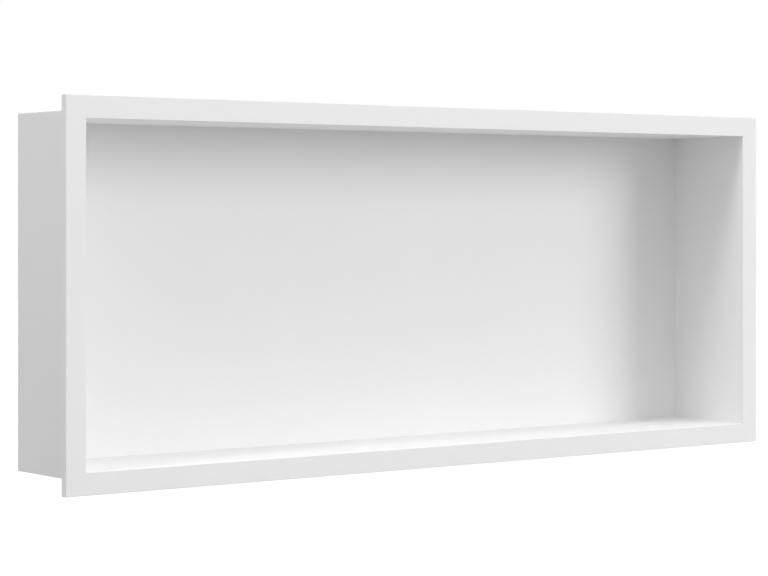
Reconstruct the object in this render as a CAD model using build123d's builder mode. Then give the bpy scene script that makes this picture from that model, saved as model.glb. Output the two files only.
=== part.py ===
"""Shower niche insert: a box open at the front with a flat face flange, cast in one piece.

Frame, in millimetres: +X to the right as seen from the room, +Y into the wall, +Z up.
The origin is the middle of the opening on the plane of the finished wall,
so the flange stands proud of the wall at -Y and the box runs into it at +Y.
"""
import os

from build123d import *

# Driving dimensions
OPENING_WIDTH = 786.0  # clear width of the niche
OPENING_HEIGHT = 300.0  # clear height of the niche
INSIDE_DEPTH = 100.0  # flange front to the back of the niche
WALL_THICKNESS = 7.3  # sides, top and bottom of the box
BACK_THICKNESS = 7.3  # back of the box
FLANGE_THICKNESS = 7.3  # how far the flange stands proud of the finished wall
FLANGE_LAP = 12.4  # how far the flange covers the wall around the box
BACK_RADIUS = 1.0  # cast radius from the back of the niche into its four walls
EDGE_RADIUS = 0.5  # eased outside edges

# Sizes that follow from them
BOX_WIDTH = OPENING_WIDTH + 2 * WALL_THICKNESS
BOX_HEIGHT = OPENING_HEIGHT + 2 * WALL_THICKNESS
BOX_DEPTH = INSIDE_DEPTH - FLANGE_THICKNESS + BACK_THICKNESS
FLANGE_WIDTH = BOX_WIDTH + 2 * FLANGE_LAP
FLANGE_HEIGHT = BOX_HEIGHT + 2 * FLANGE_LAP

# Both planes face the room
wall_face = Plane.XZ
flange_front = wall_face.offset(FLANGE_THICKNESS)

with BuildPart() as niche_body:
    # Flange blank, lying on the wall
    with BuildSketch(flange_front):
        RectangleRounded(FLANGE_WIDTH, FLANGE_HEIGHT, EDGE_RADIUS)
    extrude(amount=-FLANGE_THICKNESS)

    # Box blank, running into the wall, with its back edges eased
    with BuildSketch(wall_face):
        RectangleRounded(BOX_WIDTH, BOX_HEIGHT, EDGE_RADIUS)
    extrude(amount=-BOX_DEPTH)
    box_back = niche_body.faces().sort_by(Axis.Y)[-1]
    fillet(box_back.edges(), radius=EDGE_RADIUS)

    # Hollow, through the flange and into the box; its walls meet each other sharply,
    # while the back runs into all four of them in a radius that is mitred at each corner
    with BuildSketch(flange_front):
        Rectangle(OPENING_WIDTH, OPENING_HEIGHT)
    extrude(amount=-INSIDE_DEPTH, mode=Mode.SUBTRACT)
    niche_back_edges = niche_body.edges(Select.LAST).group_by(Axis.Y)[-1]
    fillet(niche_back_edges, radius=BACK_RADIUS)

    # Flange front, eased along its outline and around the opening
    front_face = niche_body.faces().sort_by(Axis.Y)[0]
    fillet(front_face.edges(), radius=EDGE_RADIUS)

niche_body.part.label = "niche_body"

os.makedirs("parts", exist_ok=True)
export_step(niche_body.part, "parts/niche_body.step")
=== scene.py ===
"""Looks of the shower niche insert: its cast white body, the studio around it and the camera.

Lengths are in metres, in the part's own frame: +X to the right as seen from the room, +Y into the wall
and +Z up, with the origin in the middle of the opening on the plane of the finished wall.
"""
import math
from collections import namedtuple

import bmesh
import bpy
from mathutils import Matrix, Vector


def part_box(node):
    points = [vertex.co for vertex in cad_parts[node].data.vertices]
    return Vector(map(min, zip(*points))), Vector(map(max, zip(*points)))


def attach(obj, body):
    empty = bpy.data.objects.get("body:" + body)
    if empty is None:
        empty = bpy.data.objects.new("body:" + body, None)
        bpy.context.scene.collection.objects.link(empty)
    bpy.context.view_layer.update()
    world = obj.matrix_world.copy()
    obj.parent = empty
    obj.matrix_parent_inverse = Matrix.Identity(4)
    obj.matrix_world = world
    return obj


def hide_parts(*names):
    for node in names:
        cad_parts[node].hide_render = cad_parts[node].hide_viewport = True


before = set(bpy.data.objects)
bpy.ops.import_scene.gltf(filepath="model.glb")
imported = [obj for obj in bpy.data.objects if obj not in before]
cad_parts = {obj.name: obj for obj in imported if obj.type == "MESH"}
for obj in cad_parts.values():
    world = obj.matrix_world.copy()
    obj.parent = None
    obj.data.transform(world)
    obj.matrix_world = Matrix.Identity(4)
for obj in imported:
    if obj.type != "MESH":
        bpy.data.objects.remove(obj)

bl_info = {
    "name": "Shower niche insert",
    "version": (1, 0, 0),
    "blender": (4, 5, 0),
    "location": "View3D > Sidebar > Niche",
    "description": "Models a cast shower niche insert, with a studio to show it in",
    "category": "Add Mesh",
}

# The CAD body that the cast body stands for
CAD_NODE = "niche_body"
CAD_LOW, CAD_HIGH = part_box(CAD_NODE)
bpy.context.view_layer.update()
WALL_FACE = 0.0

# Roundness and smoothness of the body's edges
EDGE_SEGMENTS = 4
RADIUS_SEGMENTS = 8
SHARP_ANGLE = math.radians(60)
SMOOTH_ANGLE = math.radians(30)

# How exactly a corner lies on a plane, and how squarely a face looks along the depth
PLACE_TOLERANCE = 1e-5
SQUARE_ON = 0.9

# Resin: spreads about the mean colour, as a share of it, and about the mean roughness,
# the octaves of the two patterns, and the height of the grain as a share of its size
TINT_SPREAD = 0.015
ROUGHNESS_SPREAD = 0.06
CLOUD_DETAIL = 4.0
GRAIN_DETAIL = 3.0
GRAIN_HEIGHT = 0.14

WHITE = (1.0, 1.0, 1.0, 1.0)

# Floor: its own glow, which is seen but lights nothing, is weaker near the niche, where the shadow falls.
# A reach is measured from the point below the niche's middle
FLOOR_SIZE = 60.0
FLOOR_COLOUR = (0.58, 0.58, 0.58, 1.0)
NEAR_REACH = 1.5
FAR_REACH = 5.0
NEAR_GLOW = 0.52
FAR_GLOW = 0.86

# Lean of a direction out of the wall's plane, as a share of its length, past which
# all its light is front light on the room's side and back light on the other
FADE = 0.25

# Round soft lamps that look at the niche's middle. A turn is to the right of straight in front, a rise is
# above level, both in degrees; distances and diameters are in metres and powers in watts
Lamp = namedtuple("Lamp", "name turn rise distance diameter power")
LAMPS = (
    Lamp("wide lamp on the right", 44, 15, 7.0, 3.6, 204.0),
    Lamp("small lamp on the left", -83, 35, 2.0, 0.4, 7.6),
    Lamp("small lamp overhead", -22, 77, 2.0, 0.6, 10.0),
    Lamp("soft lamp beside the left end", -95, 5, 2.5, 1.2, 4.6),
    Lamp("soft lamp behind", 150, 8, 3.0, 2.0, 28.0),
)

# The photograph's frame in pixels, the row in it where level lines from the eye run out,
# and the width in millimetres that the lens is given for
PHOTO_WIDTH = 768
PHOTO_HEIGHT = 576
HORIZON_ROW = 214.44
PICTURE_WIDTH = 36.0


class NicheSizes(bpy.types.PropertyGroup):
    """Sizes of the cast body that its outer box doesn't give."""

    wall: bpy.props.FloatProperty(
        name="Wall",
        description="Thickness of the sides, top, bottom and back of the box",
        default=0.0073,
        min=0.002,
        unit="LENGTH",
    )
    flange_lap: bpy.props.FloatProperty(
        name="Flange lap",
        description="How far the flange covers the wall around the box",
        default=0.0124,
        min=0.002,
        unit="LENGTH",
    )
    back_radius: bpy.props.FloatProperty(
        name="Back radius",
        description="Cast radius from the back of the niche into its four walls",
        default=0.001,
        min=0.0005,
        unit="LENGTH",
    )
    edge_radius: bpy.props.FloatProperty(
        name="Edge radius",
        description="Radius of the eased outside edges",
        default=0.0005,
        min=0.0001,
        unit="LENGTH",
    )


class NicheFinish(bpy.types.PropertyGroup):
    """The matt white cast resin."""

    colour: bpy.props.FloatVectorProperty(
        name="Colour",
        description="Colour of the cast resin",
        subtype="COLOR",
        size=3,
        default=(0.9, 0.9, 0.9),
        min=0.0,
        max=1.0,
    )
    roughness: bpy.props.FloatProperty(
        name="Roughness",
        description="Mean roughness of the matt surface",
        default=0.8,
        min=0.0,
        max=1.0,
        subtype="FACTOR",
    )
    gloss: bpy.props.FloatProperty(
        name="Gloss",
        description="Strength of the surface's reflection, where 0.5 is that of smooth plastic",
        default=0.2,
        min=0.0,
        max=1.0,
        subtype="FACTOR",
    )
    grain: bpy.props.FloatProperty(
        name="Grain",
        description="Size of the fine sanded grain",
        default=0.0006,
        min=0.0001,
        unit="LENGTH",
    )
    cloud: bpy.props.FloatProperty(
        name="Cloud",
        description="Size of the faint clouds in the cast filler",
        default=0.09,
        min=0.005,
        unit="LENGTH",
    )


class NicheStudio(bpy.types.PropertyGroup):
    """The floor, the light and the camera."""

    floor_drop: bpy.props.FloatProperty(
        name="Floor drop",
        description="Height of the niche's middle above the floor, as fitted in a shower",
        default=1.2,
        min=0.2,
        unit="LENGTH",
    )
    front_light: bpy.props.FloatProperty(
        name="Front light",
        description="Even light from the whole room in front of the niche",
        default=0.67,
        min=0.0,
    )
    back_light: bpy.props.FloatProperty(
        name="Back light",
        description="Even light from behind the niche",
        default=0.1,
        min=0.0,
    )
    camera_turn: bpy.props.FloatProperty(
        name="Camera turn",
        description="How far the camera stands to the left of straight in front",
        default=math.radians(37.10),
        subtype="ANGLE",
    )
    camera_distance: bpy.props.FloatProperty(
        name="Camera distance",
        description="Distance from the camera to the upright plane through the middle of the flange front",
        default=2.24822,
        unit="LENGTH",
    )
    camera_side: bpy.props.FloatProperty(
        name="Camera side step",
        description="How far the camera stands to the right of the line to the niche's middle",
        default=-0.06172,
        unit="LENGTH",
    )
    camera_height: bpy.props.FloatProperty(
        name="Camera height",
        description="Height of the camera above the niche's middle",
        default=0.06845,
        unit="LENGTH",
    )
    lens: bpy.props.FloatProperty(
        name="Lens",
        description="Focal length in millimetres for a picture 36 mm wide",
        default=111.448,
        min=1.0,
    )


def deselect_all():
    """Nothing is selected and no edit is open."""
    if bpy.context.mode != "OBJECT":
        bpy.ops.object.mode_set(mode="OBJECT")
    bpy.ops.object.select_all(action="DESELECT")


def select_in_edit(body, kind, wanted):
    """In edit mode, leaves only those faces or edges selected that wanted() accepts."""
    bpy.ops.mesh.select_mode(type=kind)
    bpy.ops.mesh.select_all(action="DESELECT")
    mesh = bmesh.from_edit_mesh(body.data)
    mesh.normal_update()
    found = 0
    for element in mesh.faces if kind == "FACE" else mesh.edges:
        if wanted(element):
            element.select_set(True)
            found += 1
    bmesh.update_edit_mesh(body.data)
    if not found:
        raise RuntimeError("no " + kind.lower() + " of the niche body is where it should be")


def lies_at(element, depth):
    """Does the face or edge lie on the upright plane at this depth?"""
    return all(abs(v.co.y - depth) < PLACE_TOLERANCE for v in element.verts)


def faces_at(depth, direction):
    """A test for faces that lie at a depth and look along +Y or -Y."""
    return lambda face: face.normal.y * direction > SQUARE_ON and lies_at(face, depth)


def is_outside_edge(edge):
    """Is the edge a sharp outer one, and not one where the flange lies on the wall?"""
    return edge.is_convex and edge.calc_face_angle() > SHARP_ANGLE and not lies_at(edge, WALL_FACE)


def push_in(distance):
    """Extrudes the selected face into the wall."""
    bpy.ops.mesh.extrude_region_move(TRANSFORM_OT_translate={"value": (0.0, distance, 0.0)})


def round_off(radius, segments):
    """Rounds the selected edges."""
    bpy.ops.mesh.bevel(offset=radius, segments=segments, affect="EDGES", clamp_overlap=False)


def model_niche_body(sizes):
    """The flange plate, the box pushed out of its back, and the hollow pushed in from its front."""
    deselect_all()
    flange_size = Vector((CAD_HIGH.x - CAD_LOW.x, WALL_FACE - CAD_LOW.y, CAD_HIGH.z - CAD_LOW.z))
    flange_middle = Vector((0.0, (CAD_LOW.y + WALL_FACE) / 2, 0.0))
    bpy.ops.mesh.primitive_cube_add(size=1.0, location=flange_middle)
    body = bpy.context.object
    body.name = body.data.name = "cast_niche_body"
    body.scale = flange_size
    bpy.ops.object.transform_apply(location=True, rotation=True, scale=True)

    bpy.ops.object.mode_set(mode="EDIT")
    select_in_edit(body, "FACE", faces_at(WALL_FACE, 1))
    bpy.ops.mesh.inset(thickness=sizes.flange_lap)
    push_in(CAD_HIGH.y - WALL_FACE)

    hollow_back = CAD_HIGH.y - sizes.wall
    select_in_edit(body, "FACE", faces_at(CAD_LOW.y, -1))
    bpy.ops.mesh.inset(thickness=sizes.flange_lap + sizes.wall)
    push_in(hollow_back - CAD_LOW.y)

    select_in_edit(body, "EDGE", lambda edge: lies_at(edge, hollow_back))
    round_off(sizes.back_radius, RADIUS_SEGMENTS)
    select_in_edit(body, "EDGE", is_outside_edge)
    round_off(sizes.edge_radius, EDGE_SEGMENTS)
    bpy.ops.mesh.select_all(action="SELECT")
    bpy.ops.mesh.normals_make_consistent(inside=False)
    bpy.ops.object.mode_set(mode="OBJECT")

    bpy.ops.object.shade_smooth_by_angle(angle=SMOOTH_ANGLE)
    bpy.ops.object.modifier_add(type="WEIGHTED_NORMAL")
    even_normals = body.modifiers[-1]
    even_normals.keep_sharp = True
    bpy.ops.object.modifier_apply(modifier=even_normals.name)
    return body


def new_material(name):
    """A material with its nodes, their links and its main shader."""
    material = bpy.data.materials.new(name)
    material.use_nodes = True
    nodes = material.node_tree.nodes
    return material, nodes, material.node_tree.links, nodes["Principled BSDF"]


def add_noise(nodes, links, place, size, detail):
    """A noise pattern of this size on the piece's own coordinates."""
    noise = nodes.new("ShaderNodeTexNoise")
    noise.inputs["Scale"].default_value = 1 / size
    noise.inputs["Detail"].default_value = detail
    links.new(place.outputs["Object"], noise.inputs["Vector"])
    return noise.outputs["Fac"]


def cast_resin(finish):
    """Matt white cast resin: a sanded grain in its surface, and faint clouds of filler in its colour."""
    material, nodes, links, shader = new_material("matt white cast resin")
    shader.inputs["Specular IOR Level"].default_value = finish.gloss
    place = nodes.new("ShaderNodeTexCoord")

    cloud = add_noise(nodes, links, place, finish.cloud, CLOUD_DETAIL)
    tint = nodes.new("ShaderNodeMix")
    tint.data_type = "RGBA"
    tint.inputs["A"].default_value = (*[c * (1 - TINT_SPREAD) for c in finish.colour], 1.0)
    tint.inputs["B"].default_value = (*[c * (1 + TINT_SPREAD) for c in finish.colour], 1.0)
    links.new(cloud, tint.inputs["Factor"])
    links.new(tint.outputs["Result"], shader.inputs["Base Color"])

    grain = add_noise(nodes, links, place, finish.grain, GRAIN_DETAIL)
    rough = nodes.new("ShaderNodeMapRange")
    rough.inputs["To Min"].default_value = finish.roughness - ROUGHNESS_SPREAD
    rough.inputs["To Max"].default_value = finish.roughness + ROUGHNESS_SPREAD
    links.new(grain, rough.inputs["Value"])
    links.new(rough.outputs["Result"], shader.inputs["Roughness"])
    bump = nodes.new("ShaderNodeBump")
    bump.inputs["Distance"].default_value = finish.grain * GRAIN_HEIGHT
    links.new(grain, bump.inputs["Height"])
    links.new(bump.outputs["Normal"], shader.inputs["Normal"])
    return material


class NICHE_OT_cast_body(bpy.types.Operator):
    """Models the cast niche body in its matt white resin"""

    bl_idname = "niche.cast_body"
    bl_label = "Cast body"

    def execute(self, context):
        scene = context.scene
        body = model_niche_body(scene.niche_sizes)
        body.data.materials.append(cast_resin(scene.niche_finish))
        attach(body, "root")
        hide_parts(CAD_NODE)
        return {"FINISHED"}


def seen_directly(nodes, links):
    """1 where the camera, a reflection or glass sees the surface, and 0 where light bounces from it."""
    path = nodes.new("ShaderNodeLightPath")
    either = nodes.new("ShaderNodeMath")
    either.operation = "MAXIMUM"
    links.new(path.outputs["Is Camera Ray"], either.inputs[0])
    links.new(path.outputs["Is Glossy Ray"], either.inputs[1])
    any_of_three = nodes.new("ShaderNodeMath")
    any_of_three.operation = "MAXIMUM"
    links.new(either.outputs["Value"], any_of_three.inputs[0])
    links.new(path.outputs["Is Transmission Ray"], any_of_three.inputs[1])
    return any_of_three.outputs["Value"]


def add_fade(nodes, links, value, start, end):
    """A smooth change from one level to another, each given with the value where it holds."""
    fade = nodes.new("ShaderNodeMapRange")
    fade.interpolation_type = "SMOOTHSTEP"
    fade.inputs["From Min"].default_value, fade.inputs["To Min"].default_value = start
    fade.inputs["From Max"].default_value, fade.inputs["To Max"].default_value = end
    links.new(value, fade.inputs["Value"])
    return fade.outputs["Result"]


def floor_finish():
    """Matt pale grey that shows white, with less glow near the niche so that its shadow is seen."""
    material, nodes, links, shader = new_material("pale floor")
    shader.inputs["Base Color"].default_value = FLOOR_COLOUR
    shader.inputs["Roughness"].default_value = 1.0
    shader.inputs["Specular IOR Level"].default_value = 0.0
    shader.inputs["Emission Color"].default_value = WHITE
    place = nodes.new("ShaderNodeTexCoord")
    reach = nodes.new("ShaderNodeVectorMath")
    reach.operation = "LENGTH"
    links.new(place.outputs["Object"], reach.inputs[0])
    glow = add_fade(nodes, links, reach.outputs["Value"], (NEAR_REACH, NEAR_GLOW), (FAR_REACH, FAR_GLOW))
    shown = nodes.new("ShaderNodeMath")
    shown.operation = "MULTIPLY"
    links.new(glow, shown.inputs[0])
    links.new(seen_directly(nodes, links), shown.inputs[1])
    links.new(shown.outputs["Value"], shader.inputs["Emission Strength"])
    return material


def lay_floor(drop):
    """A wide pale floor below the niche, which shows white and takes the niche's shadow."""
    deselect_all()
    bpy.ops.mesh.primitive_plane_add(size=FLOOR_SIZE, location=(0.0, 0.0, -drop))
    floor = bpy.context.object
    floor.name = "pale_floor"
    floor.data.materials.append(floor_finish())


def light_all_round(front, back):
    """A soft light from the room in front, fading into a weaker one from behind, which shows as white."""
    world = bpy.data.worlds.new("soft white light")
    bpy.context.scene.world = world
    world.use_nodes = True
    nodes = world.node_tree.nodes
    links = world.node_tree.links
    place = nodes.new("ShaderNodeTexCoord")
    axes = nodes.new("ShaderNodeSeparateXYZ")
    links.new(place.outputs["Generated"], axes.inputs["Vector"])
    strength = add_fade(nodes, links, axes.outputs["Y"], (-FADE, front), (FADE, back))
    light = nodes["Background"]
    light.inputs["Color"].default_value = WHITE
    links.new(strength, light.inputs["Strength"])
    white = nodes.new("ShaderNodeBackground")
    white.inputs["Color"].default_value = WHITE
    white.inputs["Strength"].default_value = 1.0
    pick = nodes.new("ShaderNodeMixShader")
    links.new(seen_directly(nodes, links), pick.inputs["Fac"])
    links.new(light.outputs["Background"], pick.inputs[1])
    links.new(white.outputs["Background"], pick.inputs[2])
    links.new(pick.outputs["Shader"], nodes["World Output"].inputs["Surface"])


def hang_lamp(lamp):
    """Hangs one lamp of the studio; the lamp itself isn't seen, only its light."""
    turn = math.radians(lamp.turn)
    rise = math.radians(lamp.rise)
    level = math.cos(rise)
    towards = Vector((math.sin(turn) * level, -math.cos(turn) * level, math.sin(rise)))
    light = bpy.data.lights.new(lamp.name, "AREA")
    light.shape = "DISK"
    light.size = lamp.diameter
    light.energy = lamp.power
    holder = bpy.data.objects.new(lamp.name, light)
    bpy.context.scene.collection.objects.link(holder)
    holder.location = towards * lamp.distance
    holder.rotation_euler = (-towards).to_track_quat("-Z", "Y").to_euler()
    holder.visible_camera = False


def set_camera(studio):
    """A level camera to the left of the front, with the picture shifted so that uprights stay upright."""
    turn = studio.camera_turn
    ahead = Vector((math.sin(turn), math.cos(turn), 0.0))
    aside = Vector((math.cos(turn), -math.sin(turn), 0.0))
    lens = bpy.data.cameras.new("photo camera")
    lens.sensor_width = PICTURE_WIDTH
    lens.lens = studio.lens
    lens.shift_y = (HORIZON_ROW - PHOTO_HEIGHT / 2) / PHOTO_WIDTH
    camera = bpy.data.objects.new("photo camera", lens)
    bpy.context.scene.collection.objects.link(camera)
    middle = Vector((0.0, CAD_LOW.y, studio.camera_height))
    camera.location = middle - ahead * studio.camera_distance + aside * studio.camera_side
    camera.rotation_euler = (math.radians(90), 0.0, -turn)
    bpy.context.scene.camera = camera


class NICHE_OT_studio(bpy.types.Operator):
    """Sets the floor, the light and the camera"""

    bl_idname = "niche.studio"
    bl_label = "Studio"

    def execute(self, context):
        studio = context.scene.niche_studio
        lay_floor(studio.floor_drop)
        light_all_round(studio.front_light, studio.back_light)
        for lamp in LAMPS:
            hang_lamp(lamp)
        set_camera(studio)
        context.scene.view_settings.view_transform = "Standard"
        return {"FINISHED"}


class NICHE_PT_sidebar(bpy.types.Panel):
    """Lists the sizes of the niche and the steps that make it"""

    bl_idname = "NICHE_PT_sidebar"
    bl_label = "Shower niche insert"
    bl_space_type = "VIEW_3D"
    bl_region_type = "UI"
    bl_category = "Niche"

    def draw(self, context):
        scene = context.scene
        for group in (scene.niche_sizes, scene.niche_finish, scene.niche_studio):
            box = self.layout.box()
            for key in group.__annotations__:
                box.prop(group, key)
        self.layout.operator(NICHE_OT_cast_body.bl_idname)
        self.layout.operator(NICHE_OT_studio.bl_idname)


CLASSES = (
    NicheSizes,
    NicheFinish,
    NicheStudio,
    NICHE_OT_cast_body,
    NICHE_OT_studio,
    NICHE_PT_sidebar,
)


def register():
    """Registers the classes and gives the scene its settings."""
    for cls in CLASSES:
        bpy.utils.register_class(cls)
    bpy.types.Scene.niche_sizes = bpy.props.PointerProperty(type=NicheSizes)
    bpy.types.Scene.niche_finish = bpy.props.PointerProperty(type=NicheFinish)
    bpy.types.Scene.niche_studio = bpy.props.PointerProperty(type=NicheStudio)


def unregister():
    """Takes the settings and the classes away again."""
    del bpy.types.Scene.niche_studio
    del bpy.types.Scene.niche_finish
    del bpy.types.Scene.niche_sizes
    for cls in reversed(CLASSES):
        bpy.utils.unregister_class(cls)


def main():
    """Builds the niche and its studio."""
    register()
    bpy.ops.niche.cast_body()
    bpy.ops.niche.studio()


if __name__ == "__main__":
    main()
